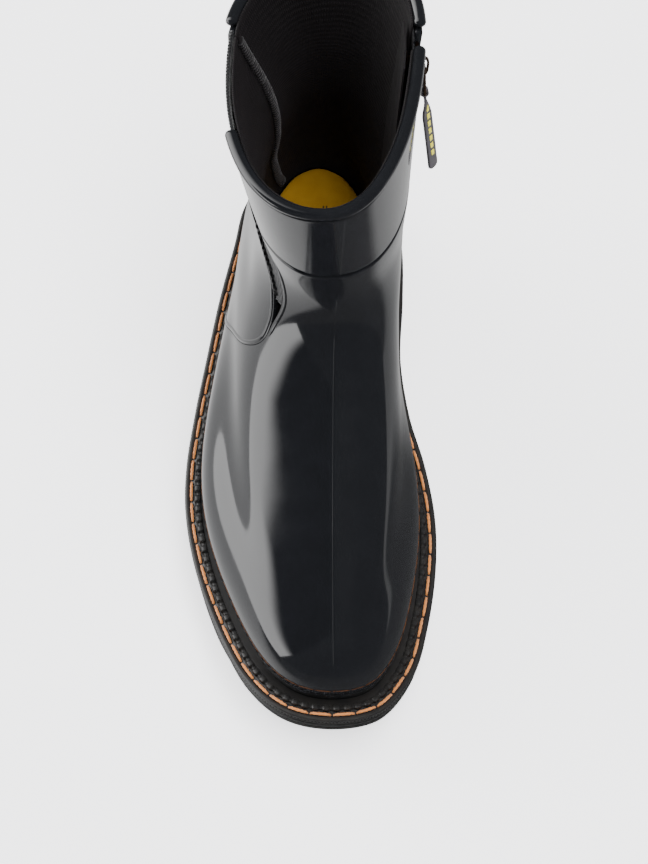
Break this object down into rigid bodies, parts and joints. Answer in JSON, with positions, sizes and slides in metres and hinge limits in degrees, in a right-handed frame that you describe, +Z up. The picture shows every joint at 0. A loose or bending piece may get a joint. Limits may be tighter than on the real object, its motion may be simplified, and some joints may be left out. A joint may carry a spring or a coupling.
{
  "type": "rubber rain boot",
  "caption": "Ankle-height moulded rain boot for the right foot, with a storm welt, block heel, elastic gore outside and a working zip with pull tab inside.",
  "frame": {"origin": "centre of the boot's footprint on the floor, at the level of the heel's underside", "axes": "+Z up, -Y towards the toe, +X towards the inner side of the right foot, where the zip is"},
  "size_m": [0.1121, 0.2902, 0.1819],
  "materials": {
    "upper_pvc": "high-gloss moulded PVC",
    "welt_pvc": "semi-gloss moulded PVC",
    "sole_rubber": "satin moulded rubber",
    "thread": "waxed polyester thread",
    "board": "cellulose board",
    "insole_fabric": "brushed fabric over foam",
    "elastic": "ribbed elastic webbing",
    "jersey": "cotton jersey",
    "zip_tape": "woven polyester tape",
    "zip_metal": "gunmetal plating",
    "shank_steel": "plain strip",
    "tab_fabric": "folded woven strap"
  },
  "bodies": {
    "boot": {"outsole": "sole_rubber", "heel_block": "sole_rubber", "heel_top_piece": "sole_rubber", "midsole": "sole_rubber", "shank": "shank_steel", "welt": "welt_pvc", "welt_notched_rib": "welt_pvc", "welt_stitching": "thread", "insole_board": "board", "footbed": "insole_fabric", "vamp_shell": "upper_pvc", "quarter_shell": "upper_pvc", "front_cuff": "upper_pvc", "rear_cuff": "upper_pvc", "front_rim_bead": "upper_pvc", "rear_rim_bead": "upper_pvc", "gore_elastic": "elastic", "front_lining": "jersey", "rear_lining": "jersey", "zip_tape_front": "zip_tape", "zip_tape_rear": "zip_tape", "zip_teeth_front": "zip_metal", "zip_teeth_rear": "zip_metal", "zip_top_stop_front": "zip_metal", "zip_top_stop_rear": "zip_metal", "zip_bottom_stop": "zip_metal", "zip_guard": "jersey"},
    "slider": {"zip_slider": "zip_metal"},
    "puller": {"zip_puller": "zip_metal"},
    "tab": {"pull_tab": "tab_fabric"}
  },
  "joints": [
    {"name": "zip_travel", "type": "slide", "parent": "boot", "child": "slider", "axis": [-0.0892, -0.3777, -0.9216], "range_m": [0, 0.089]},
    {"name": "puller_swing", "type": "hinge", "parent": "slider", "child": "puller", "pos_m": [0.04821, 0.09311, 0.16716], "axis": [0.0631, -0.9256, 0.3732], "range_deg": [-3, 120]},
    {"name": "tab_swing", "type": "hinge", "parent": "puller", "child": "tab", "pos_m": [0.04858, 0.08853, 0.15575], "axis": [0.0631, -0.9256, 0.3732], "range_deg": [-5, 50]}
  ]
}
